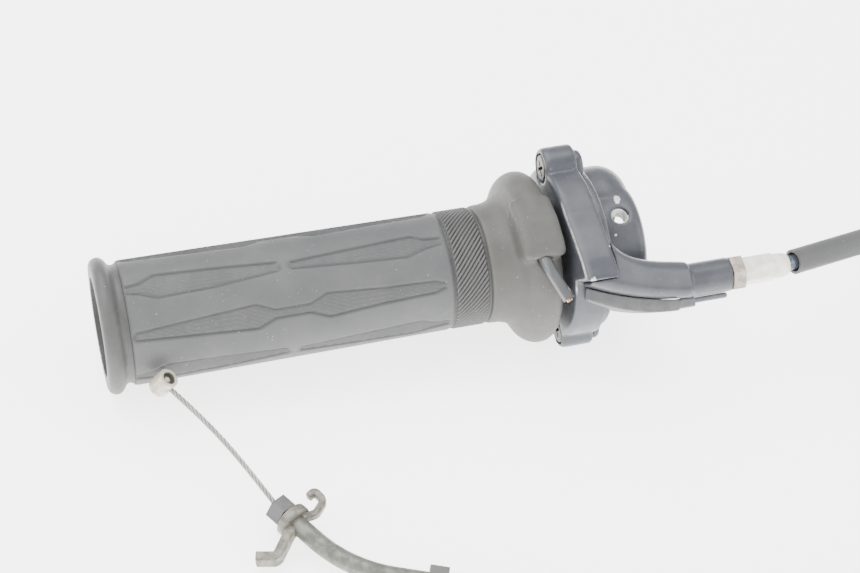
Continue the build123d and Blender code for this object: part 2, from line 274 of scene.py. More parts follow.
# 1 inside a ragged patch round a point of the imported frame, 0 outside it.
def spot(tree, point, centre, radiusMm, stretch):
    ragged, soft = spotLook["ragged"], spotLook["softMm"] * mm
    shifted = addNode(tree, "VectorMath", {"operation": "SUBTRACT", 1: tuple(centre)}, {0: point})
    scaled = addNode(tree, "VectorMath",
                     {"operation": "MULTIPLY", 1: tuple(1 / s for s in stretch)},
                     {0: shifted.outputs["Vector"]})
    reach = addNode(tree, "VectorMath", {"operation": "LENGTH"}, {0: scaled.outputs["Vector"]})
    wander = noise(tree, point, radiusMm * spotLook["grainShare"], 3.0)
    edge = ramp(tree, wander, 0.3, 0.7, 1 - ragged, 1 + ragged)
    limit = combine(tree, "MULTIPLY", edge, radiusMm * mm)
    return ramp(tree, combine(tree, "SUBTRACT", limit, reach.outputs["Value"]), -soft, soft)


# Moulded EPDM rubber: soft grey-black, faint mottling, a fine grain and specks of dust; painted
# shade in the grooves where a groove colour is given.
rubberLook = {
    "ior": 1.52, "specular": 0.5, "handledMm": 14, "streakMm": 2.6, "streakShare": 0.35,
    "speckMm": 0.7, "speckFrom": 0.755, "speckTo": 0.805, "speckShare": 0.45, "dust": "#C9C6BF",
    "grooveShadeStrength": 0.75, "grainMm": 0.35, "grainDepthMm": 0.035, "grainStrength": 0.6,
}


def blackRubber(name, worn, clean, roughLow, roughHigh, grooveShade=None):
    look = rubberLook
    material, tree, surface = newMaterial(name, {"IOR": look["ior"],
                                                 "Specular IOR Level": look["specular"]})
    point = objectPoint(tree)
    handled = ramp(tree, noise(tree, point, look["handledMm"], 4.0, 0.6), 0.3, 0.72)
    specks = ramp(tree, noise(tree, point, look["speckMm"], 1.0), look["speckFrom"],
                  look["speckTo"])
    streaks = ramp(tree, noise(tree, point, look["streakMm"], 5.0, 0.7), 0.35, 0.75)
    mottled = mixColour(tree, combine(tree, "MULTIPLY", streaks, look["streakShare"]),
                        mixColour(tree, handled, clean, worn), worn)
    # Painted shade: the groove colour darkens the grooves, by the depth written on the mesh.
    if grooveShade:
        sunk = combine(tree, "MULTIPLY", paintedShadeShare(tree), look["grooveShadeStrength"])
        mottled = mixColour(tree, sunk, mottled, grooveShade)
    dusted = combine(tree, "MULTIPLY", specks, look["speckShare"])
    tree.links.new(mixColour(tree, dusted, mottled, look["dust"]), surface.inputs["Base Color"])
    tree.links.new(ramp(tree, streaks, 0, 1, roughLow, roughHigh), surface.inputs["Roughness"])
    grain = noise(tree, point, look["grainMm"], 3.0)
    tree.links.new(bump(tree, grain, look["grainDepthMm"], look["grainStrength"]),
                   surface.inputs["Normal"])
    return material


# Stoved black paint on a die cast alloy: satin, slightly pebbled, bare metal where it is chipped.
paintLook = {
    "ior": 1.5, "coat": 0.12, "coatRoughness": 0.3, "cloudMm": 9, "cloud": "#8E8C88",
    "cloudShare": 0.12, "speckMm": 0.6, "speck": "#B9B7B2", "speckShare": 0.5, "pebbleMm": 0.5,
    "pebbleDepthMm": 0.02, "pebbleStrength": 0.35, "sheenMm": 3.0, "roughLow": 0.30,
    "roughHigh": 0.41, "bare": "#EDEBE6", "bareMetal": 0.85, "bareSmoother": 0.06,
}


def satinPaint(name, colour, chips, bareEdge=None):
    look = paintLook
    material, tree, surface = newMaterial(name, {"IOR": look["ior"], "Coat Weight": look["coat"],
                                                 "Coat Roughness": look["coatRoughness"]})
    point = objectPoint(tree)
    clouds = ramp(tree, noise(tree, point, look["cloudMm"], 4.0, 0.6), 0.35, 0.7)
    specks = ramp(tree, noise(tree, point, look["speckMm"], 1.0), 0.77, 0.79)
    paint = mixColour(tree, combine(tree, "MULTIPLY", clouds, look["cloudShare"]), colour,
                      look["cloud"])
    paint = mixColour(tree, combine(tree, "MULTIPLY", specks, look["speckShare"]), paint,
                      look["speck"])
    patches = [spot(tree, point, *chip) for chip in chips]
    if bareEdge:
        patches.append(bareEdge(tree, point))
    bare = patches[0]
    for patch in patches[1:]:
        bare = combine(tree, "MAXIMUM", bare, patch)
    paint = mixColour(tree, bare, paint, look["bare"])
    rough = ramp(tree, noise(tree, point, look["sheenMm"], 4.0), 0.3, 0.7, look["roughLow"],
                 look["roughHigh"])
    rough = combine(tree, "SUBTRACT", rough,
                    combine(tree, "MULTIPLY", bare, look["bareSmoother"]))
    tree.links.new(combine(tree, "MULTIPLY", bare, look["bareMetal"]), surface.inputs["Metallic"])
    tree.links.new(paint, surface.inputs["Base Color"])
    tree.links.new(rough, surface.inputs["Roughness"])
    pebble = noise(tree, point, look["pebbleMm"], 3.0)
    tree.links.new(bump(tree, pebble, look["pebbleDepthMm"], look["pebbleStrength"]),
                   surface.inputs["Normal"])
    return material


# Zinc plating gone white and brown with corrosion: blotchy, half metallic, rough in the stains.
# Blotches and pits are given as shares of the finish's own grain.
zincLook = {
    "blotchShare": 2.4, "pitShare": 0.55, "pitSoftness": 0.12, "roughSpan": 0.22,
    "grainMm": 0.4, "grainDepthMm": 0.06, "grainStrength": 0.7,
}


def wornZinc(name, bright, dull, stain, stainShare, roughness=0.42, metallic=0.75, grainMm=1.6,
             grooveShade=None):
    look = zincLook
    material, tree, surface = newMaterial(name, {"Metallic": metallic})
    point = objectPoint(tree)
    blotches = ramp(tree, noise(tree, point, grainMm * look["blotchShare"], 5.0, 0.65), 0.38, 0.62)
    pits = ramp(tree, noise(tree, point, grainMm * look["pitShare"], 4.0, 0.7), 1 - stainShare,
                1 + look["pitSoftness"] - stainShare)
    base = mixColour(tree, pits, mixColour(tree, blotches, bright, dull), stain)
    # Painted shade in grooves and recesses, where a groove colour is given.
    if grooveShade:
        base = mixColour(tree, paintedShadeShare(tree), base, grooveShade)
    tree.links.new(base, surface.inputs["Base Color"])
    tree.links.new(ramp(tree, blotches, 0, 1, roughness, roughness + look["roughSpan"]),
                   surface.inputs["Roughness"])
    height = combine(tree, "ADD", pits, noise(tree, point, look["grainMm"], 4.0))
    tree.links.new(bump(tree, height, look["grainDepthMm"], look["grainStrength"]),
                   surface.inputs["Normal"])
    return material


# An even moulded, drawn or plated surface, clouded a little by handling.
plainLook = {"coatRoughness": 0.15, "cloudMm": 5, "smoother": 0.05, "rougher": 0.08,
             "grainStrength": 0.5}


def plainFinish(name, colour, roughness, metallic=0.0, coat=0.0, grainMm=0.5, grainDepth=0.02,
                shade="#6E6C68", shadeShare=0.15):
    look = plainLook
    material, tree, surface = newMaterial(name, {"Metallic": metallic, "Coat Weight": coat,
                                                 "Coat Roughness": look["coatRoughness"]})
    point = objectPoint(tree)
    clouds = ramp(tree, noise(tree, point, look["cloudMm"], 4.0, 0.6), 0.35, 0.7)
    shaded = combine(tree, "MULTIPLY", clouds, shadeShare)
    tree.links.new(mixColour(tree, shaded, colour, shade), surface.inputs["Base Color"])
    tree.links.new(ramp(tree, clouds, 0, 1, roughness - look["smoother"],
                        roughness + look["rougher"]), surface.inputs["Roughness"])
    tree.links.new(bump(tree, noise(tree, point, grainMm, 3.0), grainDepth,
                        look["grainStrength"]), surface.inputs["Normal"])
    return material


def paintNode(node, material):
    mesh = frame["nodes"][node].data
    mesh.materials.clear()
    mesh.materials.append(material)


# Grip rubber, greyed by dust, with painted shade in the grooves and knurl valleys of the sleeve
# and the band.
gripRubber = blackRubber("mouldedRubberDustAndGrooveShade", "#595958", "#4A4B4C", 0.50, 0.68, grooveShade="#1E1E1E")
rimRubber = blackRubber("mouldedRubberRim", "#525250", "#424241", 0.44, 0.6)
flangeRubber = blackRubber("mouldedRubberFlange", "#575651", "#474643", 0.50, 0.66)
bandRubber = blackRubber("mouldedRubberBand", "#5A5957", "#4D4D4B", 0.46, 0.6, grooveShade="#181818")
sleeveRubber = blackRubber("sleeveRubber", "#565655", "#4D4D4D", 0.46, 0.6)
# Extruded over the conduit: dark, with a low even gloss.
casingPlastic = plainFinish("extrudedBlackPlastic", "#2A2A2B", 0.42, coat=0.05, grainMm=1.2,
                            shade="#4A4946")
# Shiny vinyl sheath round copper, lightened towards cream as a painted glint.
leadSheath = plainFinish("glossyCableSheath", "#4A4B4C", 0.2, coat=0.8, grainDepth=0.006,
                         shade="#6A6A68")
# Cream patches on the copper: painted glint.
glintedCopper = plainFinish("bareCopperPaintedGlint", "#E8BE94", 0.3, metallic=1.0, shade="#F3D9B8", shadeShare=0.6)
# Drawn and galvanised: bright, with grease in the lay.
bareWire = plainFinish("galvanisedWire", "#B3B0AA", 0.3, metallic=0.9, shade="#6F6B64",
                       shadeShare=0.5)
print("materials ready")

# The cords: a casing in one smooth line with its slack coiled, and the bare stranded wire.
casing = {
    "diameter": 5.5, "length": 0.77,
    "fromAdjuster": [(112.91, -16.25, 31.09), (137.80, -10.76, 30.32), (162.81, -11.23, 27.31),
                     (183.81, -19.43, 21.01), (195.81, -37.93, 14.51), (193.81, -60.43, 8.51)],
    "coilCentre": (163.81, -45.43), "coilStart": -26.6, "coilSweep": 761.3, "coilSteps": 34,
    "toPipe": [(177.90, -79.90, 3.40), (154.81, -85.93, 3.41), (130.81, -97.93, 3.01),
               (102.81, -108.93, 2.91), (72.81, -114.93, 2.91), (41.81, -112.93, 2.91),
               (11.81, -104.23, 2.91), (-7.69, -95.23, 4.51), (-21.49, -89.63, 4.81)],
}
# Swept degrees, radius and height of the turns: one on top, then down and outwards on the floor.
coilShape = [(0, 33.0, 8.6), (250, 33.0, 8.7), (320, 30.2, 3.0), (410, 30.2, 3.0),
             (610, 36.4, 3.0), (780, 36.4, 3.0)]
wire = {
    "points": [(-57.88, -58.05, 6.48), (-62.95, -47.74, 9.74), (-68.30, -37.61, 12.63),
               (-74.15, -27.80, 14.83), (-80.39, -18.23, 16.51)],
    "diameter": 1.5, "length": 0.0465, "strands": 5, "strandRadius": 0.29, "layRadius": 0.45,
    "layLength": 8.0, "coreRadius": 0.18, "sides": 8, "step": 0.35,
}


def nurbsCurve(name, points, radius, resolution=12):
    data = bpy.data.curves.new(name, "CURVE")
    data.dimensions = "3D"
    data.resolution_u = resolution
    data.render_resolution_u = resolution
    data.bevel_depth = radius
    data.bevel_resolution = 6 if radius else 0
    data.use_fill_caps = bool(radius)
    spline = data.splines.new("NURBS")
    spline.points.add(len(points) - 1)
    for place, point in zip(points, spline.points):
        point.co = (*(value * mm for value in place), 1.0)
    spline.order_u = 3
    spline.use_endpoint_u = True
    return newPiece(name, data)


# The points that a NURBS line through those control points follows.
def curvePath(points, resolution):
    line = nurbsCurve("routeLine", points, 0.0, resolution)
    bpy.context.view_layer.update()
    mesh = bpy.data.meshes.new_from_object(line)
    path = [vertex.co.copy() for vertex in mesh.vertices]
    bpy.data.meshes.remove(mesh)
    bpy.data.objects.remove(line)
    return path


def makeCasing():
    sweptAt, radii, heights = zip(*coilShape)
    stepAngle = casing["coilSweep"] / casing["coilSteps"]
    points = list(casing["fromAdjuster"])
    x, y = casing["coilCentre"]
    for step in range(1, casing["coilSteps"]):
        swept = step * stepAngle
        reach = np.interp(swept, sweptAt, radii) / cos(radians(stepAngle / 2))
        angle = radians(casing["coilStart"] - swept)
        height = float(np.interp(swept, sweptAt, heights))
        points.append((x + reach * cos(angle), y + reach * sin(angle), height))
    points += casing["toPipe"]
    curve = nurbsCurve("cableCasing", points, casing["diameter"] / 2 * mm)
    curve.data.materials.append(casingPlastic)
    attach(curve, "housing")
    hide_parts("cable_casing_upper", "cable_coil", "cable_casing_lower")
    onCable = [frame["nodes"][node] for node in ("casing_ferrule", "cable_sleeve", "guide_pipe")]
    onCable += [bpy.data.objects[name] for name in ("hexFerrule", "stampedStay", "pipeNut")]


# Points a fixed distance apart along a path, with how far along each is and its tangent.
def evenPath(path, step):
    points = np.array([tuple(p) for p in path])
    runs = np.linalg.norm(np.diff(points, axis=0), axis=1)
    along = np.concatenate(([0], np.cumsum(runs)))
    stations = np.linspace(0, along[-1], max(2, int(along[-1] / step)))
    placed = np.stack([np.interp(stations, along, points[:, axis]) for axis in range(3)], 1)
    tangents = np.gradient(placed, axis=0)
    return stations, placed, tangents / np.linalg.norm(tangents, axis=1)[:, None]


# Strands laid round a core along a path, each a closed round bar.
def strandedMesh(name, path, spec):
    stations, centres, tangents = evenPath(path, spec["step"] * mm)
    normal = np.cross(tangents[0], (0, 0, 1.0))
    normals = []
    for tangent in tangents:
        normal = normal - tangent * np.dot(normal, tangent)
        normal = normal / np.linalg.norm(normal)
        normals.append(normal)
    normals = np.array(normals)
    binormals = np.cross(tangents, normals)
    verts, faces = [], []
    sides, count = spec["sides"], spec["strands"]
    strands = [(spec["layRadius"], spec["strandRadius"], 2 * pi * k / count) for k in range(count)]
    for layRadius, radius, phase in strands + [(0.0, spec["coreRadius"], 0.0)]:
        turn = phase + 2 * pi * stations / (spec["layLength"] * mm)
        across = np.cos(turn)[:, None] * normals + np.sin(turn)[:, None] * binormals
        middle = centres + layRadius * mm * across
        first = len(verts)
        for row in range(len(stations)):
            for side in range(sides):
                angle = 2 * pi * side / sides
                offset = radius * mm * (cos(angle) * normals[row] + sin(angle) * binormals[row])
                verts.append(tuple(middle[row] + offset))
        for row in range(len(stations) - 1):
            for side in range(sides):
                a = first + row * sides + side
                b = first + row * sides + (side + 1) % sides
                faces.append((a, b, b + sides, a + sides))
        faces.append(tuple(first + side for side in reversed(range(sides))))
        faces.append(tuple(first + (len(stations) - 1) * sides + side for side in range(sides)))
    mesh = bpy.data.meshes.new(name)
    mesh.from_pydata(verts, [], faces)
    return newPiece(name, mesh)


def makeInnerWire(nippleBarrel):
    path = curvePath(wire["points"], 24)
    piece = strandedMesh("innerWire", path, wire)
    recalculateNormals(piece)
    piece.data.materials.append(bareWire)
    makeActive(piece)
    bpy.ops.object.shade_smooth_by_angle(angle=radians(50))
    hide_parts("inner_wire")
    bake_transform(piece)


# The grip sleeve, with eight rows of sunk, knurled panels.
sleeve = {
    "startX": -120.0, "endX": -32.0, "radiusStart": 17.1, "radiusEnd": 16.5, "boreRadius": 13.45,
    "columns": 360, "rows": 272, "flatScale": 17.0, "cornerRadius": 0.9,
    "panelDepth": 0.42, "panelWall": (-0.1, 0.35),
    "outlineDepth": 0.22, "outlineAt": 0.2, "outlineWidth": 0.32,
    "knurlDepth": 0.34, "knurlCells": 4, "knurlWall": (0.35, 0.8),
    "outlineShade": 0.8, "knurlShade": 0.26, "endDrop": 0.25, "endRun": 0.5,
}
# Panels as (x in mm, degrees round the bar) from the middle of their row.
longPanel = [(-118.3, 1.4), (-86.4, 9.2), (-81.6, 1.9), (-71.6, 1.9), (-66.6, 9.2), (-51.5, 5.2),
             (-37.2, 3.4), (-34.9, 0.5), (-34.9, -0.5), (-37.2, -3.4), (-51.5, -5.2),
             (-66.6, -9.2), (-71.6, -1.9), (-81.6, -1.9), (-86.4, -9.2), (-118.3, -1.4)]
outerPanel = [(-118.9, 1.3), (-115.6, 2.6), (-111.2, 10.0), (-95.8, 7.0), (-79.2, 2.6),
              (-79.0, -2.2), (-96.2, -8.0), (-111.4, -9.6), (-115.6, -3.6), (-118.9, -1.3)]
innerPanel = [(-74.6, 0.6), (-57.9, 4.4), (-41.4, 7.8), (-38.2, 2.2), (-33.9, 1.2),
              (-33.9, -1.2), (-38.2, -3.6), (-43.2, -9.2), (-57.9, -6.4), (-74.6, -2.0)]
longRowAt, shortRowAt, rowPitch = -14.9, 29.0, 90.0
farAway = 1e9


# Signed distance of points to a closed outline, negative inside.
def distanceToOutline(px, py, outline):
    nearest = np.full(px.shape, farAway)
    inside = np.zeros(px.shape, bool)
    for (ax, ay), (bx, by) in zip(outline, outline[1:] + outline[:1]):
        ex, ey = bx - ax, by - ay
        share = np.clip(((px - ax) * ex + (py - ay) * ey) / (ex * ex + ey * ey), 0, 1)
        nearest = np.minimum(nearest, np.hypot(px - ax - share * ex, py - ay - share * ey))
        crosses = (ay > py) != (by > py)
        with np.errstate(divide="ignore", invalid="ignore"):
            inside ^= crosses & (px < ax + (py - ay) * ex / (ey if ey else 1e-12))
    return np.where(inside, -nearest, nearest)


def panelDistance(x, angle):
    best = np.full(x.shape, farAway)
    for middle, outlines in ((longRowAt, [longPanel]), (shortRowAt, [outerPanel, innerPanel])):
        local = (angle - middle + rowPitch / 2) % rowPitch - rowPitch / 2
        across = np.radians(local) * sleeve["flatScale"]
        for outline in outlines:
            flat = [(px, radians(turn) * sleeve["flatScale"]) for px, turn in outline]
            best = np.minimum(best, distanceToOutline(x, across, flat))
    return best - sleeve["cornerRadius"]


def smoothStep(value, low, high):
    share = np.clip((value - low) / (high - low), 0, 1)
    return share * share * (3 - 2 * share)


# How deep each point lies in a groove, 0 to 1, for the painted shade in the material's colour.
def writePaintedShade(mesh, values):
    sunk = mesh.attributes.new("sunk", "FLOAT", "POINT")
    sunk.data.foreach_set("value", np.clip(values.astype(np.float32), 0, 1))


def makeSleeve():
    spec = sleeve
    length = spec["endX"] - spec["startX"]
    middleX = (spec["startX"] + spec["endX"]) / 2
    deselectAll()
    bpy.ops.mesh.primitive_cylinder_add(vertices=spec["columns"], radius=spec["radiusStart"],
                                        depth=length, end_fill_type="NOTHING")
    piece = bpy.context.object
    bpy.ops.object.mode_set(mode="EDIT")
    bpy.ops.mesh.select_all(action="DESELECT")
    bpy.ops.mesh.select_mode(type="EDGE")
    bpy.ops.object.mode_set(mode="OBJECT")
    coords = readCoords(piece.data)
    for edge in piece.data.edges:  # the long edges, cut into rows
        a, b = edge.vertices
        edge.select = bool(abs(coords[a, 2] - coords[b, 2]) > length / 2)
    bpy.ops.object.mode_set(mode="EDIT")
    bpy.ops.mesh.subdivide(number_cuts=spec["rows"] - 1)
    bpy.ops.object.mode_set(mode="OBJECT")
    coords = readCoords(piece.data)
    x = coords[:, 2] + middleX
    angle = np.degrees(np.arctan2(coords[:, 1], coords[:, 0]))
    share = (x - spec["startX"]) / length
    radius = spec["radiusStart"] + (spec["radiusEnd"] - spec["radiusStart"]) * share
    away = panelDistance(x, angle)
    radius -= spec["panelDepth"] * smoothStep(-away, *spec["panelWall"])
    outline = np.exp(-((away + spec["outlineAt"]) / spec["outlineWidth"]) ** 2)
    radius -= spec["outlineDepth"] * outline
    column = np.rint(angle % 360)
    row = np.rint(share * spec["rows"])
    cells = spec["knurlCells"]
    firstWay, secondWay = (column + row) / cells % 1, (column - row) / cells % 1
    pyramid = np.minimum(1 - 2 * np.abs(firstWay - 0.5), 1 - 2 * np.abs(secondWay - 0.5))
    knurled = smoothStep(-away, *spec["knurlWall"])
    radius += spec["knurlDepth"] * pyramid * knurled
    # Painted shade: dark along the panel outlines and in the knurl valleys.
    valleys = spec["knurlShade"] * (1 - pyramid) * knurled
    writePaintedShade(piece.data, np.maximum(spec["outlineShade"] * outline, valleys))
    nearStart = smoothStep(-share * length, -spec["endRun"], 0)
    nearEnd = smoothStep((share - 1) * length, -spec["endRun"], 0)
    radius -= spec["endDrop"] * nearStart + spec["endDrop"] * nearEnd
    turn = np.radians(angle)
    writeCoords(piece.data, np.stack((x, radius * np.sin(turn), radius * np.cos(turn)), 1))
    bpy.ops.object.mode_set(mode="EDIT")
    bpy.ops.mesh.select_all(action="DESELECT")
    bpy.ops.mesh.select_non_manifold()
    bpy.ops.mesh.extrude_edges_move()
    shrink = spec["boreRadius"] / (spec["radiusStart"] - spec["endDrop"])
    bpy.ops.transform.resize(value=(1, shrink, shrink), center_override=(middleX, 0, 0))
    bpy.ops.mesh.bridge_edge_loops()
    bpy.ops.mesh.select_all(action="SELECT")
    bpy.ops.mesh.normals_make_consistent(inside=False)
    bpy.ops.object.mode_set(mode="OBJECT")
    piece.data.transform(barToFrame)
    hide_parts("grip_rubber")
    return finishPiece(piece, "gripSleeve", "grip", gripRubber, 180)


makeSleeve()
print("grip sleeve made")

# Rim, ribbed band and flange. The rim's outline is (x, radius) in mm.
rimProfile = [(-127.1, 13.6), (-127.1, 17.2), (-126.8, 17.8), (-126.2, 18.3), (-125.5, 18.6),
              (-124.9, 18.7), (-124.3, 18.6), (-123.7, 18.3), (-123.1, 17.8), (-122.6, 17.0),
              (-122.1, 16.35), (-121.5, 16.1), (-121.0, 16.15), (-120.4, 16.4), (-120.1, 16.6),
              (-120.02, 13.6)]
rimSteps = 160
band = {
    "startX": -31.98, "endX": -21.2, "radius": 16.55, "grooveRadius": 15.85, "grooveWidth": 0.75,
    "grooveWall": 0.35, "boreRadius": 13.45, "ribs": 68, "ribDepth": 0.42, "lean": 1.15,
    "columnsPerRib": 7, "rows": 44, "skin": 0.5, "endGrooveShade": 0.8,
}
flange = {"cutX": -21.25, "voxel": 0.42, "smoothing": 22}


# A closed outline of (x, radius) in millimetres, spun about the bar.
def spinProfile(name, profile, steps):
    mesh = bpy.data.meshes.new(name)
    count = len(profile)
    edges = [(i, (i + 1) % count) for i in range(count)]
    mesh.from_pydata([(x, 0, r) for x, r in profile], edges, [])
    piece = newPiece(name, mesh)
    spinAboutX(piece, steps)
    return piece


def spinAboutX(piece, steps):
    makeActive(piece)
    bpy.ops.object.mode_set(mode="EDIT")
    bpy.ops.mesh.select_all(action="SELECT")
    bpy.ops.mesh.spin(steps=steps, angle=2 * pi, center=(0, 0, 0), axis=(1, 0, 0))
    bpy.ops.mesh.select_all(action="SELECT")
    bpy.ops.mesh.remove_doubles(threshold=0.001)
    bpy.ops.mesh.normals_make_consistent(inside=False)
    bpy.ops.object.mode_set(mode="OBJECT")


def makeRim():
    piece = spinProfile("gripRim", rimProfile, rimSteps)
    piece.data.transform(barToFrame)
    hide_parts("grip_rubber")
    finishPiece(piece, "gripRim", "grip", rimRubber, 50)


def makeBand():
    spec = band
    stations = np.linspace(spec["startX"], spec["endX"], spec["rows"])
    profile = [(float(x), spec["radius"]) for x in stations]
    profile += [(spec["endX"], spec["boreRadius"]), (spec["startX"], spec["boreRadius"])]
    piece = spinProfile("gripBand", profile, spec["ribs"] * spec["columnsPerRib"])
    coords = readCoords(piece.data)
    radius = np.hypot(coords[:, 1], coords[:, 2])
    angle = np.arctan2(coords[:, 1], coords[:, 2])
    outer = radius > spec["radius"] - spec["skin"]
    fromEdge = np.minimum(coords[:, 0] - spec["startX"], spec["endX"] - coords[:, 0])
    ridge = smoothStep(fromEdge, spec["grooveWidth"], spec["grooveWidth"] + spec["grooveWall"])
    leaning = spec["lean"] * coords[:, 0] * spec["ribs"] / spec["radius"]
    ribs = 0.5 + 0.5 * np.cos(spec["ribs"] * angle - leaning)
    height = spec["grooveRadius"] + (spec["radius"] - spec["grooveRadius"]) * ridge
    height -= spec["ribDepth"] * (1 - smoothStep(ribs, 0.05, 0.75)) * ridge
    factor = np.where(outer, height / radius, 1.0)
    # Painted shade in the end grooves and between the ribs.
    dark = np.maximum(spec["endGrooveShade"] * (1 - ridge), (1 - smoothStep(ribs, 0.0, 0.6)) * ridge)
    writePaintedShade(piece.data, np.where(outer, dark, 0))
    coords[:, 1] *= factor
    coords[:, 2] *= factor
    writeCoords(piece.data, coords)
    piece.data.transform(barToFrame)
    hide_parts("grip_rubber")
    finishPiece(piece, "gripBand", "grip", bandRubber, 60)


# Neck, mushroom flange and lead boss in one soft shape, from a copy of the rubber's own solid.
def makeFlange():
    piece = newPiece("gripFlange", frame["nodes"]["grip_rubber"].data.copy())
    piece.data.transform(barToFrame.inverted())
    makeActive(piece)
    bpy.ops.object.mode_set(mode="EDIT")
    bpy.ops.mesh.select_all(action="SELECT")
    bpy.ops.mesh.remove_doubles(threshold=0.002)
    bpy.ops.mesh.bisect(plane_co=(flange["cutX"], 0, 0), plane_no=(1, 0, 0), clear_inner=True,
                        use_fill=True)
    bpy.ops.object.mode_set(mode="OBJECT")
    applyModifier(piece, "REMESH", mode="VOXEL", voxel_size=flange["voxel"], use_smooth_shade=True)
    applyModifier(piece, "SMOOTH", factor=0.5, iterations=flange["smoothing"])
    piece.data.transform(barToFrame)
    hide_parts("grip_rubber")
    finishPiece(piece, "gripFlange", "grip", flangeRubber, 180)
    print("flange faces", len(piece.data.polygons))


makeRim()
makeBand()
makeFlange()
print("grip ends made")

# Threads cut in the set screw's hole, in freshly machined metal.
thread = {"outerRadius": 2.52, "innerRadius": 2.12, "pitch": 1.0, "turns": 4, "steps": 32,
          "deepEnd": -2.3, "thickness": 0.05}
machinedAlloy = plainFinish("machinedAlloy", "#F1F1EE", 0.34, metallic=0.7, shade="#B4B4B0",
                            shadeShare=0.4)


def makeScrewThread():
    spec = thread
    half = spec["pitch"] / 2
    profile = [(spec["outerRadius"], 0, 0), (spec["innerRadius"], 0, half * 0.75),
               (spec["innerRadius"], 0, half * 1.25), (spec["outerRadius"], 0, spec["pitch"])]
    mesh = bpy.data.meshes.new("setScrewThread")
    mesh.from_pydata(profile, [(0, 1), (1, 2), (2, 3)], [])
    piece = newPiece("setScrewThread", mesh)
    applyModifier(piece, "SCREW", axis="Z", screw_offset=spec["pitch"], iterations=spec["turns"],
                  steps=spec["steps"], render_steps=spec["steps"], use_merge_vertices=True,
                  merge_threshold=0.001)
    applyModifier(piece, "SOLIDIFY", thickness=spec["thickness"], offset=1.0)
    recalculateNormals(piece, 0.0001)
    turn = holeAxis.to_track_quat("Z", "Y").to_matrix().to_4x4()
    place = Matrix.Translation(Vector(screwHole["pos_m"]) + holeAxis * spec["deepEnd"] * mm)
    piece.data.transform(place @ turn @ Matrix.Scale(mm, 4))
    return finishPiece(piece, "setScrewThread", "housing", machinedAlloy, 30)


makeScrewThread()
print("thread made")

# Castings and mouldings with soft edges, each from a copy of its own solid. Sizes in mm.
softened = {
    "housing_cover": {"name": "coverCasting", "voxel": 0.40, "smoothing": 15},
    "housing_body": {"name": "bodyCasting", "voxel": 0.46, "smoothing": 6},
    "cable_guide_cover": {"name": "guideMoulding", "voxel": 0.25, "smoothing": 4},
    "guide_clip": {"name": "clipMoulding", "voxel": 0.2, "smoothing": 4, "grow": 0.3},
    "cable_bracket": {"name": "stampedStay", "voxel": 0.16, "smoothing": 3, "grow": 0.22},
    "pipe_nut": {"name": "pipeNut", "voxel": 0.15, "smoothing": 4},
    "hex_ferrule": {"name": "hexFerrule", "voxel": 0.16, "smoothing": 4},
    "lock_nut": {"name": "lockNut", "voxel": 0.15, "smoothing": 3, "body": "lock_nut"},
    "cable_adjuster": {"name": "cableAdjuster", "voxel": 0.17, "smoothing": 3,
                       "body": "adjuster"},
}


def makeSoftened(node, spec, material):
    piece = newPiece(spec["name"], frame["nodes"][node].data.copy())
    piece.data.transform(Matrix.Scale(1 / mm, 4))
    makeActive(piece)
    bpy.ops.object.mode_set(mode="EDIT")
    bpy.ops.mesh.select_all(action="SELECT")
    bpy.ops.mesh.remove_doubles(threshold=0.002)
    bpy.ops.object.mode_set(mode="OBJECT")
    applyModifier(piece, "REMESH", mode="VOXEL", voxel_size=spec["voxel"], use_smooth_shade=True)
    if "grow" in spec:
        applyModifier(piece, "DISPLACE", strength=spec["grow"], mid_level=0.0)
    applyModifier(piece, "SMOOTH", factor=0.5, iterations=spec["smoothing"])
    piece.data.transform(Matrix.Scale(mm, 4))
    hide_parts(node)
    print(spec["name"], "faces", len(piece.data.polygons))
    return finishPiece(piece, spec["name"], spec.get("body", "housing"), material, 180)


# Where the paint is rubbed off: a thin line round the cover's outboard edge, in metres inboard
# of the bar's origin, on the side of the bar that the cable is on.
wornLine = {"inStart": 0.00018, "inFull": 0.00030, "outFull": 0.00048, "outEnd": 0.00062,
            "sideFrom": 0.0195, "sideFull": 0.021, "patchMm": 4.0, "faintest": 0.25}


def edgeWear(tree, point):
    line = wornLine
    fromBar = addNode(tree, "VectorMath", {"operation": "SUBTRACT", 1: tuple(barOrigin)},
                      {0: point}).outputs[0]
    inboard, toSide = [
        addNode(tree, "VectorMath", {"operation": "DOT_PRODUCT", 1: tuple(axis)},
                {0: fromBar}).outputs["Value"] for axis in (barX, barZ)]
    thin = combine(tree, "MULTIPLY", ramp(tree, inboard, line["inStart"], line["inFull"]),
                   ramp(tree, inboard, line["outEnd"], line["outFull"]))
    rubbed = ramp(tree, noise(tree, point, line["patchMm"], 4.0, 0.6), 0.42, 0.55,
                  line["faintest"], 1.0)
    onSide = ramp(tree, toSide, line["sideFrom"], line["sideFull"])
    return combine(tree, "MULTIPLY", combine(tree, "MULTIPLY", thin, onSide), rubbed)


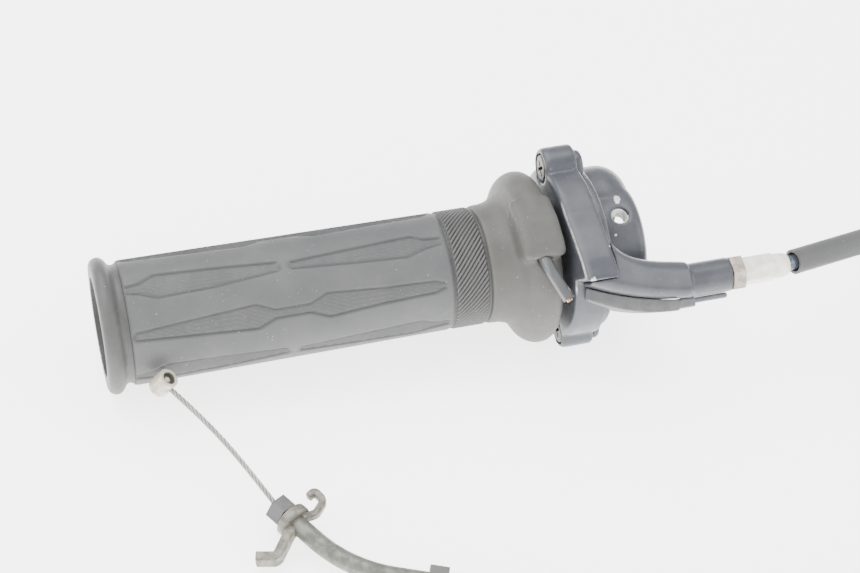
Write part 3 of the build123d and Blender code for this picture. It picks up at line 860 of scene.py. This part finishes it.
# Chips as a place in the frame, a radius in mm and how far they stretch along each axis.
coverChips = [((0.0341, -0.0261, 0.0407), 0.85, (0.8, 0.8, 1.9)),
              ((0.0410, -0.0177, 0.0449), 0.28, (1, 1, 1))]
bodyChips = [((0.0507, 0.0028, 0.0428), 0.95, (1.0, 1.6, 1.2)),
             ((0.0474, -0.0072, 0.0386), 0.35, (1, 1, 1))]
softFinishes = {
    "housing_cover": satinPaint("satinBlackPaintCover", "#383B42", coverChips, edgeWear),
    "housing_body": satinPaint("satinBlackPaintBody", "#3B3E44", bodyChips),
    # Moulded plastic, chalky next to the paint.
    "cable_guide_cover": plainFinish("matteMouldedPlastic", "#5C5D5E", 0.55, shade="#9A9995",
                                     shadeShare=0.35),
    "guide_clip": plainFinish("mouldedPlasticClip", "#65676A", 0.36, coat=0.2, shade="#A5A4A2",
                              shadeShare=0.3),
    "cable_bracket": wornZinc("stampedStayZinc", "#858277", "#68655C", "#E4DCC2", 0.30,
                              metallic=0.4, grainMm=0.9),
    "pipe_nut": plainFinish("blackCoatedNut", "#4A4B4B", 0.4, metallic=0.2, shade="#8A8986",
                            shadeShare=0.35),
    "hex_ferrule": plainFinish("darkPlatedSteel", "#5E5E5B", 0.4, metallic=0.3, shade="#7A7974",
                               shadeShare=0.4),
    # Heavy white rust, with brown in the pits.
    "lock_nut": wornZinc("zincPlatedNut", "#BDB2A6", "#9A9082", "#6A5D50", 0.36, metallic=0.35,
                         grainMm=1.0),
    "cable_adjuster": wornZinc("zincPlatedAdjuster", "#FBF9F0", "#E6E1D0", "#7C6B52", 0.27,
                               metallic=0.1, grainMm=1.1),
}
for node, spec in softened.items():
    makeSoftened(node, spec, softFinishes[node])
print("castings made")

# The cut heater lead: a sheath round copper strands. The route is on the bar.
lead = {
    "route": [(-8.8, 3.4, 22.2), (-7.8, -3.4, 24.7), (-5.9, -8.4, 25.9), (-3.9, -13.4, 27.0)],
    "radius": 1.7, "boreRadius": 1.15, "boreDepth": 1.2, "sides": 32, "step": 0.4,
    "strandRows": 8, "strandsOut": 0.5,
}
leadStrands = {"strands": 6, "strandRadius": 0.30, "layRadius": 0.62, "layLength": 14.0,
               "coreRadius": 0.3, "sides": 10, "step": 0.5}


def makeLead():
    spec = lead
    path = curvePath([tuple(onBar(*point) / mm) for point in spec["route"]], 16)
    centres, tangents = evenPath(path, spec["step"] * mm)[1:]
    oneBar = {"strands": 0, "layRadius": 0, "layLength": 10.0, "sides": spec["sides"],
              "coreRadius": spec["radius"], "step": spec["step"]}
    sheath = strandedMesh("heaterLead", path, oneBar)
    makeActive(sheath)
    bpy.ops.object.mode_set(mode="EDIT")
    bpy.ops.mesh.select_mode(type="FACE")
    bpy.ops.mesh.select_all(action="DESELECT")
    bpy.ops.object.mode_set(mode="OBJECT")
    sheath.data.polygons[-1].select = True  # the cut end
    bpy.ops.object.mode_set(mode="EDIT")
    bpy.ops.mesh.inset(thickness=(spec["radius"] - spec["boreRadius"]) * mm)
    inward = tangents[-1] * -spec["boreDepth"] * mm
    bpy.ops.mesh.extrude_region_move(TRANSFORM_OT_translate={"value": tuple(inward)})
    bpy.ops.mesh.select_mode(type="VERT")
    bpy.ops.object.mode_set(mode="OBJECT")
    recalculateNormals(sheath, 0.000001)
    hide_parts("heater_lead")
    finishPiece(sheath, "heaterLead", "grip", leadSheath, 50)
    coreStart = Vector(centres[-spec["strandRows"]])
    coreEnd = Vector(centres[-1]) + Vector(tangents[-1]) * spec["strandsOut"] * mm
    core = strandedMesh("heaterLeadStrands", [coreStart, (coreStart + coreEnd) / 2, coreEnd],
                        leadStrands)
    recalculateNormals(core, 0.000001)
    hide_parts("heater_lead_core")
    finishPiece(core, "heaterLeadStrands", "grip", glintedCopper, 50)


makeLead()
print("lead made")

# The barrel nipple on the wire's end, with the wire's swaged head in its recess. The outline is
# (along the axis, radius), and the recess is between the two limits of each.
nipple = {
    "centre": (-80.39, -18.23, 16.51), "axis": (0.512, -0.246, 0.82), "steps": 64,
    "profile": [(-3.0, 0.0), (-3.0, 2.3), (-2.85, 2.65), (-2.5, 2.85), (2.4, 2.85), (2.8, 2.7),
                (3.0, 2.4), (3.0, 1.95), (2.75, 1.7), (1.5, 1.6), (1.5, 1.0), (1.9, 0.85),
                (2.25, 0.5), (2.35, 0.0)],
    "recessAlong": (1, 2.8), "recessRadius": (0.9, 1.75),
}
# Cast zinc, with painted shade in the recess.
castZinc = wornZinc("castZincNipple", "#D6D0C0", "#B0A999", "#7A7366", 0.3, metallic=0.5,
                    grainMm=1.0, grooveShade="#6C6961")


def makeNipple():
    profile = nipple["profile"]
    mesh = bpy.data.meshes.new("endNipple")
    edges = [(i, i + 1) for i in range(len(profile) - 1)]
    mesh.from_pydata([(x, 0, r) for x, r in profile], edges, [])
    piece = newPiece("endNipple", mesh)
    spinAboutX(piece, nipple["steps"])
    coords = readCoords(piece.data)
    along, radius = coords[:, 0], np.hypot(coords[:, 1], coords[:, 2])
    (alongLow, alongHigh), (radiusLow, radiusHigh) = nipple["recessAlong"], nipple["recessRadius"]
    # The recess gets painted shade.
    writePaintedShade(piece.data, (along > alongLow) & (along < alongHigh)
              & (radius > radiusLow) & (radius < radiusHigh))
    turn = Vector(nipple["axis"]).to_track_quat("X", "Z").to_matrix().to_4x4()
    place = Matrix.Translation(Vector(nipple["centre"]) * mm)
    piece.data.transform(place @ turn @ Matrix.Scale(mm, 4))
    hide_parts("end_nipple")
    return finishPiece(piece, "endNipple", "cable_end", castZinc, 35)


makeCasing()
makeInnerWire(makeNipple())
print("cords laid")

# Finishes of the CAD nodes that stay in view.
nodeFinishes = {
    "heater_film": plainFinish("amberFilm", "#9C6B2A", 0.35, coat=0.3),
    "throttle_tube": plainFinish("mouldedNylon", "#2E2E2F", 0.4),
    "drum_nipple": wornZinc("castZincDrum", "#B9B6AE", "#9A968C", "#6A6458", 0.3),
    "drum_wire": bareWire,
    "drum_washer": plainFinish("whiteAcetal", "#DAD7CC", 0.4),
    "housing_screws": plainFinish("blackenedSteel", "#4E4C49", 0.4, metallic=0.5, shade="#7D786E",
                                  shadeShare=0.5),
    "elbow_wire": bareWire,
    "casing_ferrule": plainFinish("blackCoatedSteel", "#5B636C", 0.25, metallic=0.6,
                                  shade="#8A9098"),
    "cable_sleeve": sleeveRubber,
    # Dark plating worn through to bright and stained spots.
    "guide_pipe": wornZinc("darkPlatedPipe", "#77776F", "#5F5F58", "#F2E9CC", 0.33,
                           metallic=0.35, roughness=0.36, grainMm=1.1),
}
# The replaced nodes keep a matching finish, though they are hidden.
hiddenFinishes = softFinishes | {
    "grip_rubber": gripRubber, "inner_wire": bareWire, "end_nipple": castZinc,
    "heater_lead": leadSheath, "heater_lead_core": glintedCopper, "cable_casing_upper": casingPlastic,
    "cable_coil": casingPlastic, "cable_casing_lower": casingPlastic,
}
for node, material in (nodeFinishes | hiddenFinishes).items():
    paintNode(node, material)
print("finishes set")
